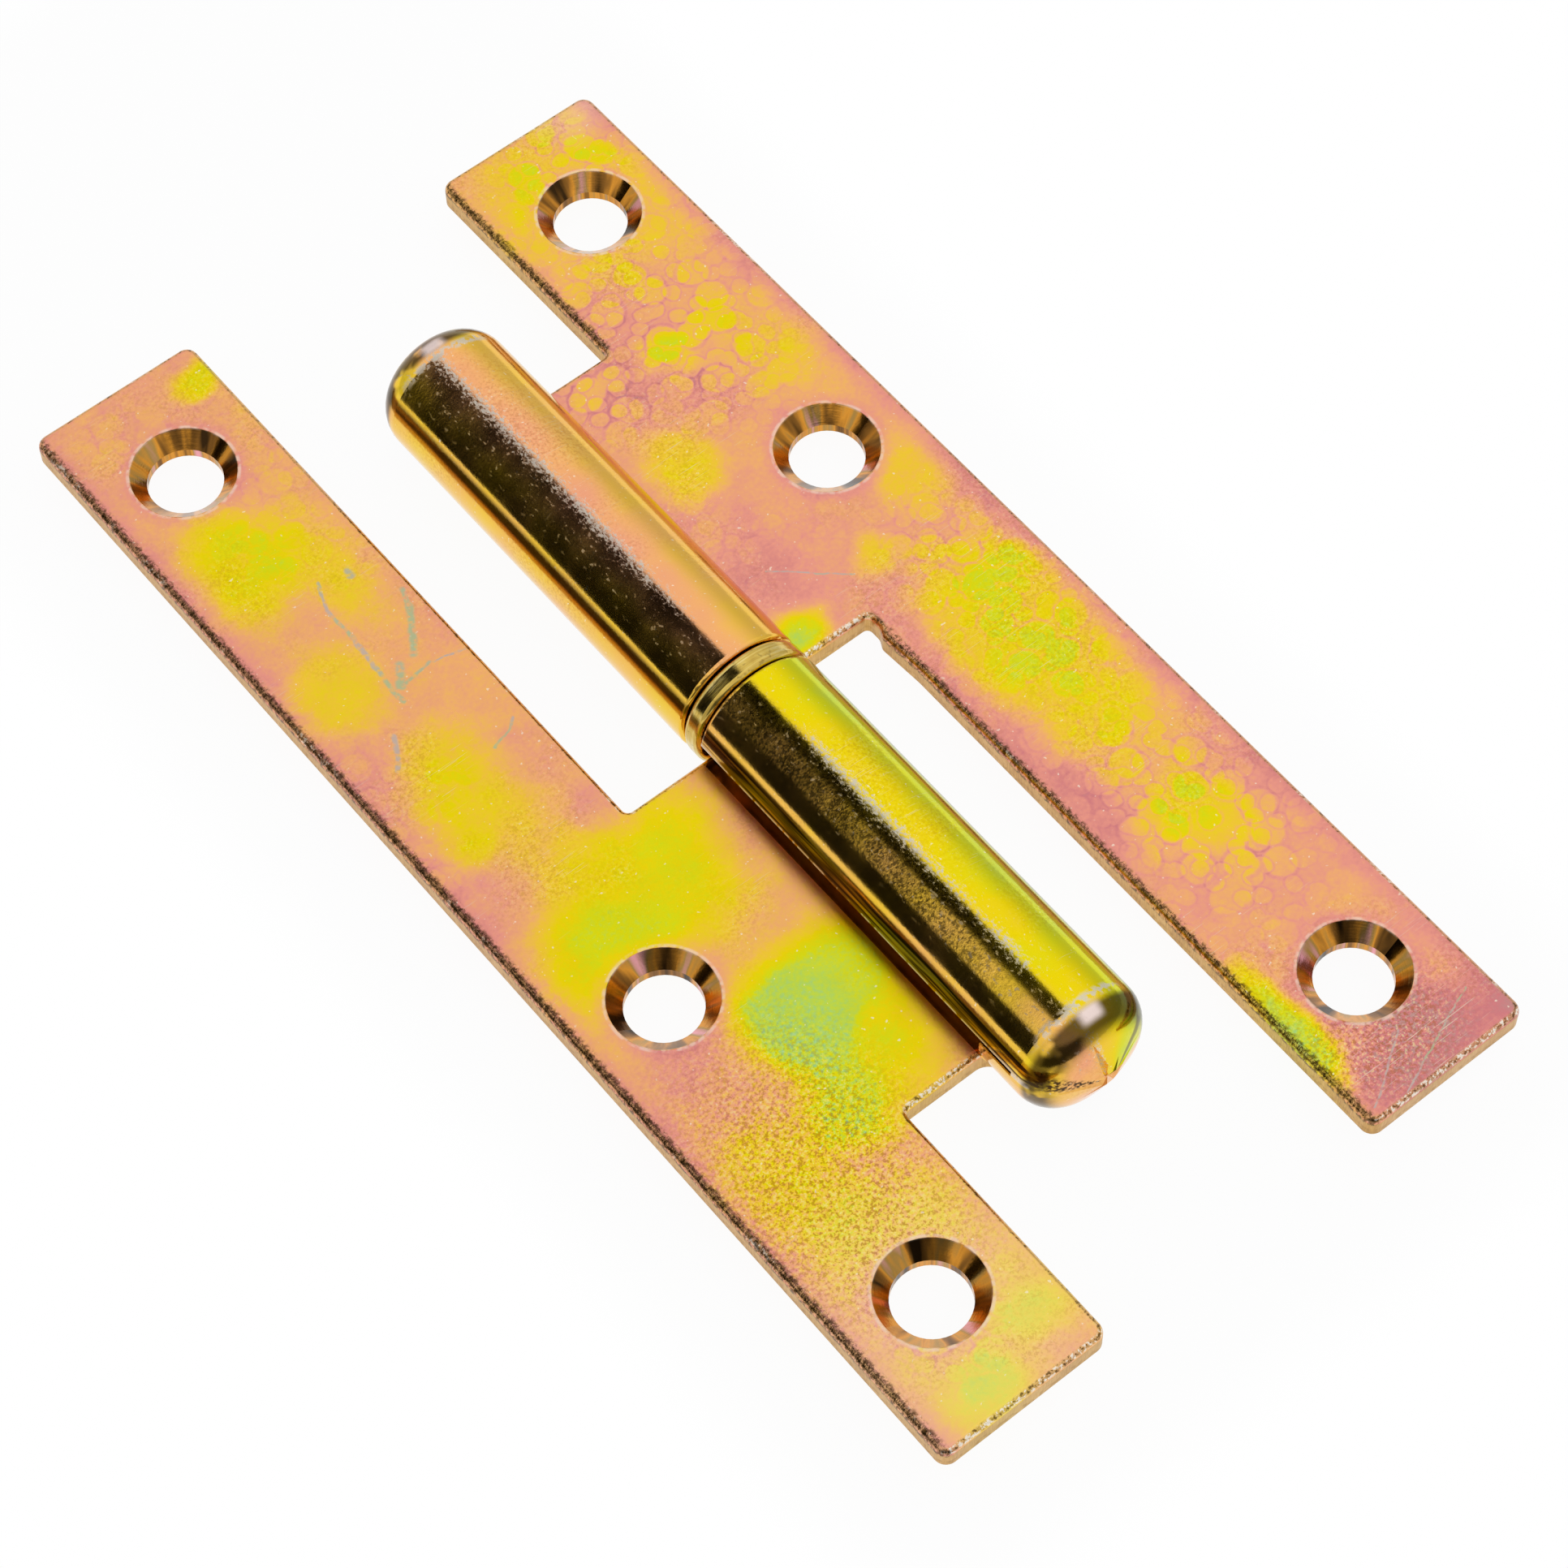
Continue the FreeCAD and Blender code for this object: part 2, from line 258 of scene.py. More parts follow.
class Finish:
    """A metallic material that is built up coat by coat."""

    def __init__(self, name, relief_size):
        self.material = bpy.data.materials.new(name)
        self.material.use_nodes = True
        self.tree = self.material.node_tree
        self.shader = self.tree.nodes["Principled BSDF"]
        self.shader.inputs["Metallic"].default_value = 1.0
        self.bump = self.tree.nodes.new("ShaderNodeBump")
        self.bump.inputs["Strength"].default_value = 1.0
        self.bump.inputs["Distance"].default_value = relief_size
        self.at, self.normal = surface(self.tree)

    def lay(self, mask, colour, rough=0.0):
        """Covers the surface with a colour through a mask, and shifts its roughness there."""
        over = shown(colour) if isinstance(colour, str) else colour
        self.colour = blend(self.tree, mask, self.colour, over)
        if rough:
            self.rough = mask.scaled(rough, self.rough)

    def raise_by(self, height, amount):
        """Adds an amount of a height field to the relief."""
        self.relief = height.scaled(amount, self.relief)

    def close(self):
        """Wires the three results to the shader."""
        feed(self.shader.inputs["Base Color"], self.colour)
        feed(self.shader.inputs["Roughness"], self.rough.math("MAXIMUM", SMOOTHEST))
        feed(self.bump.inputs["Height"], self.relief)
        feed(self.shader.inputs["Normal"], self.bump.outputs[0])
        print(self.material.name, "has", len(self.tree.nodes), "nodes")
        return self.material


print("coats ready")

# %% [markdown]
# ## Yellow chromate on the leaves
# The bath leaves a film a few hundred nanometres thick, and its colour is a matter of thickness, as on
# a soap bubble: teal and lime where it is thin, then yellow, gold, salmon and pink. So the finish is
# one field, the film's thickness, and one colour ramp. Stains are soft ovals where the bath drained or
# clung, bent by noise so that none looks drawn.

# %% The film and its stains
FILM = ((0.00, "9ed08c"), (0.07, "bcd852"), (0.16, "dadc18"), (0.28, "eed50c"), (0.42, "f4c63e"),
        (0.55, "f4b26e"), (0.70, "ec9a88"), (0.86, "d37f82"), (1.00, "c0908c"))

LARGE_CLOUD, SMALL_CLOUD = 0.30, 0.12       # how much clouds change the film

# Stains of each leaf: x, y, half width, half length in millimetres, and the change of the film there
FIXED_STAINS = (
    (-22.5, -53.5, 4.5, 4.0, -0.24), (-15.5, -50.0, 4.0, 3.5, -0.14), (-19.0, -39.5, 8.0, 5.0, -0.18),
    (-22.0, -32.0, 6.0, 9.0, -0.20), (-15.5, -31.0, 4.5, 5.5, -0.28), (-14.2, -22.5, 5.0, 6.5, -0.27),
    (-8.5, -20.5, 5.0, 6.0, -0.18), (-11.0, -25.0, 9.0, 12.0, -0.26), (-15.0, -7.0, 11.0, 11.0, -0.28),
    (-21.5, -10.0, 7.0, 8.0, -0.18), (-20.0, 7.0, 6.0, 10.0, -0.22), (-22.0, 3.0, 2.4, 2.2, -0.12),
    (-22.5, 21.0, 5.0, 7.0, -0.18), (-21.5, 35.0, 6.5, 8.0, -0.28), (-16.0, 31.0, 5.0, 10.0, -0.18),
    (-14.5, 52.3, 2.6, 2.6, -0.32), (-22.5, -19.5, 4.5, 4.0, 0.10), (-14.0, 0.5, 3.0, 4.0, 0.14),
    (-19.0, -49.0, 14.0, 9.0, -0.14),
)
LIFT_OFF_STAINS = (
    (21.0, -8.0, 9.0, 15.0, -0.30), (20.5, -28.0, 5.0, 6.0, -0.30), (23.5, -2.0, 4.0, 4.0, -0.14),
    (20.5, -10.5, 4.0, 4.5, -0.06), (16.5, 5.0, 3.0, 3.2, -0.22), (23.0, 9.0, 4.0, 5.0, -0.16),
    (10.5, 20.5, 4.5, 5.0, -0.26), (16.5, 30.0, 3.4, 3.4, -0.26), (20.0, 47.0, 10.0, 14.0, -0.24),
    (22.0, 27.0, 6.0, 9.0, -0.14), (13.0, -46.0, 2.2, 9.0, -0.36), (7.0, 3.0, 4.5, 3.0, -0.34),
    (20.0, -53.0, 11.0, 6.0, 0.20), (14.5, -16.0, 3.0, 20.0, 0.12), (10.0, 8.0, 7.0, 8.0, 0.08),
    (21.0, -20.0, 7.0, 7.0, -0.14),
)


def stained(tree, at, base, stains):
    """Film = base, plus clouds, plus each stain's change on ground that noise has bent."""
    bent = warp(tree, warp(tree, at, 11.0, 5.0), 2.6, 1.8)
    middle = (LARGE_CLOUD + SMALL_CLOUD) / 2        # noise is a half on average
    film = noise(tree, at, 9.0, 3.0).scaled(LARGE_CLOUD, base - middle)
    film = noise(tree, at, 1.5, 2.0).scaled(SMALL_CLOUD, film)
    for x, y, wide, long, change in stains:
        film = blot(tree, bent, x, y, wide, long).scaled(change, film)
    return film


print("film colours", len(FILM), "stains", len(FIXED_STAINS), "and", len(LIFT_OFF_STAINS))

# %% [markdown]
# ## Rings of dried foam
# Bubbles sat on the wet leaf while the film formed. Each left a yellow disc with a thin pink outline,
# mostly on the lift-off leaf. A Voronoi texture gives the distance to the nearest of many scattered
# centres: within a set distance lies the disc, and just outside it the outline. Two sizes overlap.

# %% Foam
FIXED_FOAM = ((-21.0, -47.0, 6.0, 8.0),)
LIFT_OFF_FOAM = ((20.0, -27.0, 9.0, 17.0), (21.0, -5.0, 8.0, 18.0), (18.0, 32.0, 11.0, 17.0),
                 (21.0, 50.0, 8.0, 9.0), (10.0, 30.0, 7.0, 7.0))


def cells(tree, at, size):
    """Distance from the nearest of scattered centres, size millimetres apart, as a share of size."""
    node = tree.nodes.new("ShaderNodeTexVoronoi")
    node.voronoi_dimensions = "2D"
    feed(node.inputs["Vector"], at)
    feed(node.inputs["Scale"], 1.0 / size)
    return Field(node.outputs["Distance"])


def ring(distance, radius, soft, thinner, line):
    """Change of the film: thinner within a radius with a soft edge, thicker on an outline round it."""
    disc = distance.step(radius - soft, radius, -thinner, 0.02)
    return distance.near(radius, 0.02, line).scaled(0.07, disc)


def foam_rings(tree, at, places):
    """Rings of two sizes inside soft ovals, and faintly in a few drifts elsewhere."""
    shaky = warp(tree, at, 2.0, 0.7)
    wet = noise(tree, at, 14.0).step(0.48, 0.64) * 0.35
    for x, y, wide, long in places:
        wet = either(wet, blot(tree, at, x, y, wide, long))
    large = ring(cells(tree, shaky, 3.4), radius=0.42, soft=0.08, thinner=0.09, line=0.08)
    small = ring(cells(tree, shaky, 1.7), radius=0.46, soft=0.10, thinner=0.06, line=0.09)
    return (large + small) * wet


print("foam places", len(FIXED_FOAM), "and", len(LIFT_OFF_FOAM))

# %% [markdown]
# ## Zones of a leaf
# The same sheet looks different in six places. The flat faces carry the film. The punched sides are
# tan, with faint shear marks. The rim between them is rubbed pale. The countersinks are dark and bright
# by turns. The rolled knuckle is polished by the rolling die and scuffed along its top, and its far end
# is swaged to a dome. Masks worked out from place and normal pick each zone, so no seam is drawn by hand.

# %% Zone masks
# Lengths in millimetres
AXIS_HEIGHT = 5.5           # pin axis above the table
KNUCKLE = 5.5               # outer radius of the roll
SINK = 4.2                  # radius of a countersink at the face
FACE = 4.0                  # height of the countersunk faces
HOLE_OUT = 19.9             # row of holes, from the pin axis
HOLES = (-45, 15, 45)       # along the lift-off leaf; the fixed leaf's holes are turned half round
LEAF_REACH = 27.2           # outer edge of a leaf, from the pin axis
ARM_EDGE = 12.4             # inner edge of the arms, from the pin axis
TAB_END = 33.0              # end of the tab that runs into the knuckle
SHOULDER = 36.9             # where the knuckle starts to close to its dome
LIP = math.radians(7.3)     # free edge of the roll, over the level of the pin


class Zones:
    """Masks of one leaf; side is +1 for the lift-off leaf and -1 for the fixed one."""

    def __init__(self, finish, side):
        tree = finish.tree
        self.side = side
        self.x, self.y, self.z = parts(tree, finish.at)
        ny, nz = parts(tree, finish.normal)[1:]
        height = self.z - AXIS_HEIGHT
        out = self.x * side
        self.off_axis = (out * out + height * height).math("SQRT")
        self.turn = height.math("ARCTAN2", out)         # 0 towards the own leaf, a quarter turn at the top
        self.knuckle = self.off_axis.step(KNUCKLE + 0.05, KNUCKLE + 0.12, 1.0, 0.0)
        spots = [Field(vector(tree, "DISTANCE", finish.at, (HOLE_OUT * side, hole * side, FACE), out=1))
                 for hole in HOLES]
        self.from_hole = spots[0].math("MINIMUM", spots[1]).math("MINIMUM", spots[2])
        self.sinks = self.from_hole.step(SINK - 0.02, SINK + 0.10, 1.0, 0.0)
        plain = self.knuckle.away() * self.sinks.away()
        self.cut = nz.math("ABSOLUTE").step(0.10, 0.30, 1.0, 0.0) * plain
        self.rim = nz.step(0.25, 0.55) * nz.step(0.90, 0.995, 1.0, 0.0) * plain
        self.near_end = ny.step(-0.5, -0.2, 1.0, 0.0)
        if side < 0:
            left = out.step(LEAF_REACH - 1.2, LEAF_REACH - 0.1)
        else:
            arms = either(self.y.step(-1.0, -0.4, 1.0, 0.0), self.y.step(TAB_END, TAB_END + 0.6))
            left = out.step(ARM_EDGE, ARM_EDGE + 1.1, 1.0, 0.0) * arms
        self.left_edge = left * self.z.step(3.0, 3.6) * plain
        self.dome = (self.y * side).step(SHOULDER - 0.2, SHOULDER + 0.4) * self.knuckle


print("zones ready")

# %% [markdown]
# ## What happened to the flat faces
# Fine grain comes from the pickled steel under the film. Pale glints are bare peaks. Scratches are of
# two kinds: families of hairlines from handling, which are stretched noise, and a few deep strokes that
# someone would recognise this very hinge by, which are placed one by one.

# %% Coats of the flat faces
BROWN_PIT, YELLOW_GLINT, PALE_GLINT = "a8641c", "fbeea0", "fbf3dc"
SCRATCHED_FILM = "e9dcc4"
BARE_ZINC = ((0.44, "c6b6ae"), (0.56, "b2c49a"))


def grain(finish, coarse):
    """Brown pits and pale glints a few tenths of a millimetre across, thickest inside one soft oval."""
    tree, at = finish.tree, finish.at
    fine = noise(tree, at, 0.26, 2.0, 0.65)
    thick = either(noise(tree, at, 8.0).step(0.45, 0.70) * 0.45, blot(tree, at, *coarse))
    finish.lay(fine.step(0.38, 0.50, 1.0, 0.0) * thick * 0.60, BROWN_PIT)
    finish.lay(fine.step(0.56, 0.66) * thick * 0.45, YELLOW_GLINT)
    finish.lay(noise(tree, at, 0.34, 1.0).step(0.72, 0.79) * 0.55, PALE_GLINT)
    finish.raise_by(fine, 0.10)


def hairlines(finish, worn):
    """Three families of thin scratches, in drifts and wherever the leaf is worn."""
    tree, at = finish.tree, finish.at
    lines = either(streaks(tree, at, 38, 0.09, 5.0, 0.70), streaks(tree, at, -52, 0.08, 4.0, 0.71),
                   streaks(tree, at, 7, 0.08, 3.5, 0.71))
    drifts = noise(tree, at, 7.0).step(0.52, 0.66) * 0.6
    finish.lay(lines * either(drifts, blot(tree, at, *worn)) * 0.7, SCRATCHED_FILM, rough=0.10)


def deep_scratches(finish, strokes):
    """Placed strokes, a little shaky and patchy, through to zinc that has gone grey and green."""
    tree, at = finish.tree, finish.at
    shaky = warp(tree, at, 1.2, 0.5)
    marks = either(*[stroke(tree, shaky, *each) for each in strokes])
    marks = marks * noise(tree, at, 0.5, 2.0).step(0.36, 0.56, 0.25, 1.0)
    zinc = ramp(tree, noise(tree, at, 5.0), BARE_ZINC)
    finish.lay(marks * 0.85, zinc, rough=0.12)


print("face coats ready")

# %% [markdown]
# ## Edges and holes
# A punched side has a smooth, sheared upper part and a duller, broken lower part. Its rim, rolled over
# by the punch, lost its film in handling: pale metal shows, with dark flecks where dirt stays. On the
# rims that face the near end more of the pale metal is laid on as a painted highlight, and the left-hand
# rims get painted shade in dark specks. A countersink keeps rings from the cutter, and its film changes
# in sectors round the hole. On a cone the normal turns with the angle and stays the same down the slope,
# so noise read at the normal gives them.

# %% Coats of edges and holes
TAN = ((0.30, "a87f42"), (0.50, "cba458"), (0.70, "dcb978"))
SECTORS = ((0.34, "3a2814"), (0.44, "94642a"), (0.52, "e39a38"), (0.58, "b08a48"), (0.68, "eea4ac"))
# The white metal is wear in patches, and a painted highlight on rims that face the near end.
BROKEN_STEEL, RUBBED_FILM, WHITE_METAL, PALE_LIP = "9a7440", "c9a45c", "fff8ea", "f3d9c4"
# The second colour here is painted shade, laid in dark specks along the left-hand rims.
FLECK, GRIME = "4c3415", "4c3716"


def cut_sides(finish, zones):
    """Tan sides: fine upright shear marks, and a duller, broken lower part."""
    tree, at = finish.tree, finish.at
    shear = noise(tree, vector(tree, "MULTIPLY", at, (9, 9, 0.8)), 1.0, 2.0)
    tone = ramp(tree, shear * 0.5 + noise(tree, at, 3.0) * 0.5, TAN)
    finish.lay(zones.cut * 0.85, tone, rough=0.10)
    broken = zones.z.step(2.5, 2.9, 1.0, 0.0) * zones.cut
    finish.lay(broken * noise(tree, at, 0.4, 3.0).step(0.40, 0.65) * 0.4, BROKEN_STEEL, rough=0.15)


def rubbed_rims(finish, zones):
    """Worn rims with dark flecks and white metal; painted highlight on near-end rims, painted shade on
    left ones.
    """
    tree, at = finish.tree, finish.at
    rub = noise(tree, at, 0.34, 2.0, 0.7)
    finish.lay(zones.rim * 0.5, RUBBED_FILM, rough=-0.12)
    finish.lay(zones.rim * rub.step(0.36, 0.46, 1.0, 0.0) * 0.8, FLECK)
    # Rims that face the near end get the pale metal fully, as a painted highlight; elsewhere it is wear in
    # patches.
    white = either(zones.near_end * 0.9, noise(tree, at, 5.0).step(0.56, 0.66) * 0.6)
    finish.lay(zones.rim * rub.step(0.50, 0.60) * white, WHITE_METAL, rough=0.2)
    finish.raise_by(rub * zones.rim, 0.9)
    # Painted shade in dark specks along the left-hand rims.
    grime = noise(tree, at, 0.40, 4.0, 0.75).step(0.44, 0.58) * zones.left_edge.step(0.15, 0.60)
    finish.lay(grime * 0.8, GRIME, rough=-0.05)


def countersinks(finish, zones):
    """Bright cones in sectors of dark and gold, with cutter rings and a pale lip at the face."""
    tree, at = finish.tree, finish.at
    place = vector(tree, "MULTIPLY", at, (0.11, 0.11, 0))
    sectors = noise(tree, vector(tree, "MULTIPLY_ADD", finish.normal, (3, 3, 0), place), 1.0, 3.0)
    finish.lay(zones.sinks, ramp(tree, sectors, SECTORS), rough=-0.16)
    rings = noise(tree, vector(tree, "MULTIPLY", at, (0.3, 0.3, 9.0)), 1.0, 2.0)
    finish.raise_by(rings * zones.sinks, 0.12)
    lip = zones.from_hole.near(SINK + 0.12, 0.05, 0.22)
    finish.lay(lip * noise(tree, at, 0.8).step(0.35, 0.60) * 0.6, PALE_LIP)


print("edge coats ready")

# %% [markdown]
# ## The knuckle
# The rolling die left the knuckle smoother than the leaf, so it mirrors the room. Where the two halves
# were pressed and tapped together, the top is scuffed along the pin. Pale dashes over the free edge of
# the roll are a painted highlight, and dark lines in the nip along both flanks are painted shade. On the
# dome a painted dark reflection rings the shoulder, with one painted highlight on it.

# %% Coats of the knuckle
SCUFF, SPECK, PIT, WORN_SHOULDER = "ded8cc", "b9b0a0", "2c2210", "d9d2c4"
# Painted light: a highlight on the free edge, a dark reflection and a highlight on the dome, shade in the
# nip.
BURNISHED, SMOKE, STRUCK_BRIGHT, NIP_DIRT = "fff2e0", "3a2a12", "ffeae4", "4a3216"


def knuckle_scuffs(finish, zones, turn, pitted):
    """Flecks along the pin, dense round one angle and sparse beside it, and dark pits in the amount given.
    """
    tree, at = finish.tree, finish.at
    drawn = vector(tree, "MULTIPLY", at, (1.0, 0.55, 1.0))
    band = zones.turn.near(turn, 0.02, 0.22) * noise(tree, at, 8.0).step(0.30, 0.55)
    flecks = (noise(tree, drawn, 0.22, 4.0, 0.75) + band * 0.20).step(0.60, 0.80)
    scuff = flecks * zones.turn.near(turn, 0.3, 0.6) * zones.knuckle
    finish.lay(scuff * 0.9, SCUFF, rough=0.32)
    beside = zones.turn.near(turn + 0.35 * zones.side, 0.2, 0.4)
    specks = noise(tree, drawn, 0.34, 3.0).step(0.60, 0.70) * beside
    finish.lay(specks * zones.knuckle * 0.55, SPECK, rough=0.30)
    ground = zones.turn.near(turn + 0.30 * zones.side, 0.20, 0.36) * zones.knuckle * pitted
    ground = ground * (zones.y * zones.side).step(26.0, 36.0, 1.0, 0.1)
    pits = noise(tree, at, 0.30, 3.0, 0.7)
    finish.lay(ground * pits.step(0.42, 0.54, 1.0, 0.0) * 0.7, PIT)


def burnished_lip(finish, zones):
    """Painted highlight: pale dashes on the last half millimetre of the roll, over its free edge."""
    tree, at = finish.tree, finish.at
    outside = zones.off_axis.step(KNUCKLE - 0.30, KNUCKLE - 0.15) * zones.knuckle
    edge = zones.turn.near(LIP + 0.03, 0.02, 0.07) * outside
    dashes = noise(tree, vector(tree, "MULTIPLY", at, (0.2, 1.0, 0.2)), 0.8, 3.0).step(0.40, 0.52)
    # The pale colour is a painted highlight on the burr of the free edge.
    finish.lay(edge * dashes, BURNISHED, rough=0.45)


def smoky_dome(finish, zones):
    """A painted dark reflection in a ring where the end closes, a painted highlight on it and a worn edge
    on the shoulder before it.
    """
    tree, at = finish.tree, finish.at
    along = zones.y * zones.side
    # The dark ring is a painted dark reflection.
    smoke = along.step(37.2, 37.9) * along.step(38.9, 39.9, 1.0, 0.0) * zones.knuckle
    finish.lay(smoke * noise(tree, at, 2.4).step(0.30, 0.44) * 0.88, SMOKE)
    # A painted highlight: one pale spot on the dark ring.
    struck = along.near(38.0, 0.2, 0.8) * zones.turn.near(1.64, 0.08, 0.26) * zones.knuckle
    finish.lay(struck * 0.85, STRUCK_BRIGHT, rough=0.30)
    worn = along.near(SHOULDER, 0.15, 0.55) * zones.turn.near(1.6, 0.5, 1.0) * zones.knuckle
    finish.lay(worn * noise(tree, at, 0.5, 3.0).step(0.42, 0.56) * 0.8, WORN_SHOULDER, rough=0.25)


def grimy_nip(finish, zones, amount):
    """Painted shade: dark lines along both flanks of the roll, near the leaf and the other half."""
    tree, at = finish.tree, finish.at
    # The dark lines are painted shade where the roll meets the leaf and the other half.
    lines = noise(tree, vector(tree, "MULTIPLY", at, (3.0, 0.10, 3.0)), 1.0, 2.0).step(0.38, 0.60)
    nip = zones.turn.near(0.34, 0.10, 0.24) * amount
    brow = zones.turn.near(2.68, 0.05, 0.14) * 0.7
    finish.lay(either(nip * lines, brow) * zones.knuckle, NIP_DIRT)


print("knuckle coats ready")

# %% [markdown]
# ## Both leaves
# One recipe makes either leaf from its own stains, foam, strokes and film on the roll. The order of the
# coats is the order in which things happened: film, grain, handling, edges, holes, knuckle.

# %% Plated steel
LEAF_RELIEF = 0.00004       # metres, height of a relief of 1
LEAF_ROUGH, ROLL_ROUGH = 0.24, 0.06         # roughness, before noise adds up to 0.12
PALE_FILM = "fff0d4"
THINNEST = 0.16             # film that the stains never go under; only the thin places do


def plated(name, side, base, stains, foam, thin, pale, coarse, worn, strokes, roll, scuff_turn, pitted):
    """One leaf's material. Places are ovals as in blot; roll is the film under, on top of and past the top
    of the knuckle; scuff_turn is the angle of its scuffs."""
    finish = Finish(name, LEAF_RELIEF)
    tree, at = finish.tree, finish.at
    zones = Zones(finish, side)

    film = stained(tree, at, base, stains) + foam_rings(tree, at, foam)
    film = film.scaled(1.2, (zones.x * side).step(LEAF_REACH - 2.7, LEAF_REACH, -0.10, 0.04))
    film = film.math("MAXIMUM", THINNEST)
    loose = warp(tree, at, 4.0, 3.0)
    for place in thin:
        film = blot(tree, loose, *place).scaled(-0.09, film)
    film = film + zones.from_hole.step(SINK, SINK + 1.6, 0.10, 0.0)
    film = (noise(tree, at, 0.36, 2.0) - 0.5).scaled(blot(tree, at, *coarse).scaled(0.60, 0.16), film)
    under, top, over = roll
    rolled = zones.turn.step(1.1, 1.6, under, top) + zones.turn.step(1.7, 2.3, 0.0, over - top)
    rolled = (noise(tree, at, 6.0, 3.0) - 0.5).scaled(zones.dome.scaled(0.4, 0.28), rolled)
    film = (rolled - film).scaled(zones.knuckle, film)

    finish.colour = ramp(tree, film, FILM)
    even = zones.knuckle.scaled(ROLL_ROUGH - LEAF_ROUGH, LEAF_ROUGH)
    finish.rough = noise(tree, at, 2.5, 2.0).scaled(0.12, even)
    finish.relief = noise(tree, at, 3.5, 1.0) * 0.5
    finish.lay(blot(tree, at, *pale) * 0.18, PALE_FILM)
    grain(finish, coarse)
    hairlines(finish, worn)
    deep_scratches(finish, strokes)
    cut_sides(finish, zones)
    rubbed_rims(finish, zones)
    countersinks(finish, zones)
    knuckle_scuffs(finish, zones, scuff_turn, pitted)
    grimy_nip(finish, zones, pitted)
    burnished_lip(finish, zones)
    smoky_dome(finish, zones)
    return finish.close()


fixed_finish = plated(
    "chromate_fixed_leaf", -1, 0.57, FIXED_STAINS, FIXED_FOAM,
    thin=((-13.0, -22.5, 7.0, 8.0),),
    pale=(-20, -48, 16, 16), coarse=(-20, -34, 12, 20), worn=(-25, 52, 4, 5),
    strokes=(((-18.0, 30.0), (-18.9, 27.5), 0.22), ((-18.9, 27.5), (-18.8, 24.3), 0.24),
             ((-18.8, 24.3), (-19.2, 20.2), 0.28), ((-13.3, 25.4), (-13.9, 23.7), 0.32),
             ((-13.9, 23.7), (-16.1, 20.2), 0.44), ((-19.2, 19.6), (-19.3, 17.2), 0.30),
             ((-17.6, 20.1), (-18.6, 18.4), 0.52), ((-18.3, 18.4), (-15.7, 18.8), 0.22),
             ((-15.7, 18.8), (-12.9, 18.1), 0.14), ((-21.6, 15.2), (-23.1, 12.7), 0.32),
             ((-15.5, 29.4), (-15.6, 28.9), 0.42), ((-13.8, 10.9), (-14.8, 10.1), 0.17),
             ((-14.8, 10.1), (-16.5, 9.7), 0.17)),
    roll=(0.46, 0.27, 0.13), scuff_turn=1.44, pitted=1.0)
lift_off_finish = plated(
    "chromate_lift_off_leaf", 1, 0.60, LIFT_OFF_STAINS, LIFT_OFF_FOAM,
    thin=((13.0, -46.0, 2.4, 9.0), (7.0, 3.0, 5.0, 3.5)),
    pale=(25, 55, 5, 5), coarse=(18, -50, 9, 7), worn=(19, -52, 10, 6),
    strokes=(((13.5, -54), (19, -50.5), 0.12), ((16, -54.5), (25, -51), 0.10),
             ((9, 9), (14, 4.5), 0.11)),
    roll=(0.46, 0.60, 0.44), scuff_turn=1.74, pitted=0.3)

for node, finish in (("fixed_leaf", fixed_finish), ("lift_off_leaf", lift_off_finish)):
    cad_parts[node].material_slots[0].material = finish

# %% [markdown]
# ## Washer and pin
# The washer is turned from brass bar, so its marks run round it. The pin is drawn steel: its marks run
# along it, and it shows in the slot of each roll and when the leaf is lifted off. Both are noise,
# stretched along the direction that the tool moved.

# %% Turned brass and drawn steel
TOOL_RELIEF = 0.00001       # metres
TARNISH = "5c4a28"
BRASS = ((0.30, "b08d3c"), (0.50, "d8b95c"), (0.70, "f2e2a2"))
STEEL = ((0.30, "8f8d88"), (0.50, "b3b1ab"), (0.70, "d2d0ca"))


def tooled(name, stops, stretch, rough):
    """Metal with tool marks: noise squeezed across the marks, in colour, roughness and relief alike."""
    finish = Finish(name, TOOL_RELIEF)
    tree, at = finish.tree, finish.at
    marks = noise(tree, vector(tree, "MULTIPLY", at, stretch), 1.0, 4.0, 0.6)
    cloud = noise(tree, at, 1.6, 2.0)
    finish.colour = ramp(tree, marks * 0.6 + cloud * 0.4, stops)
    finish.rough = (cloud - 0.5) * 0.10 + (marks - 0.5) * 0.12 + rough
    finish.relief = marks
    finish.lay(noise(tree, at, 0.5, 2.0).step(0.62, 0.70) * 0.35, TARNISH, rough=0.15)
    return finish.close()


brass = tooled("turned_brass", BRASS, stretch=(0.25, 7.0, 0.25), rough=0.14)
steel = tooled("drawn_steel", STEEL, stretch=(5.0, 0.12, 5.0), rough=0.22)
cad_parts["bearing_washer"].material_slots[0].material = brass
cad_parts["hinge_pin"].material_slots[0].material = steel

# %% [markdown]
# ## The table
# The hinge lies on a white table. Round the hinge a part of its white is an ordinary matt surface that
# keeps the shadow; the rest shows plain white to the camera and in the metal, as an overexposed sheet of
# card does. The matt part reaches as far as the leaf does when it is lifted off, and fades out beyond,
# because light that falls on bare card tells nothing and takes long to work out.

# %% Build the table
SHADED = (LEAF_REACH, 71.0, 0.0)    # half of the ground that the hinge can cover, in millimetres
MIDDLE = (0.0, 16.0, 0.0)           # middle of that ground
MATT = 0.06                         # matt share of the white there


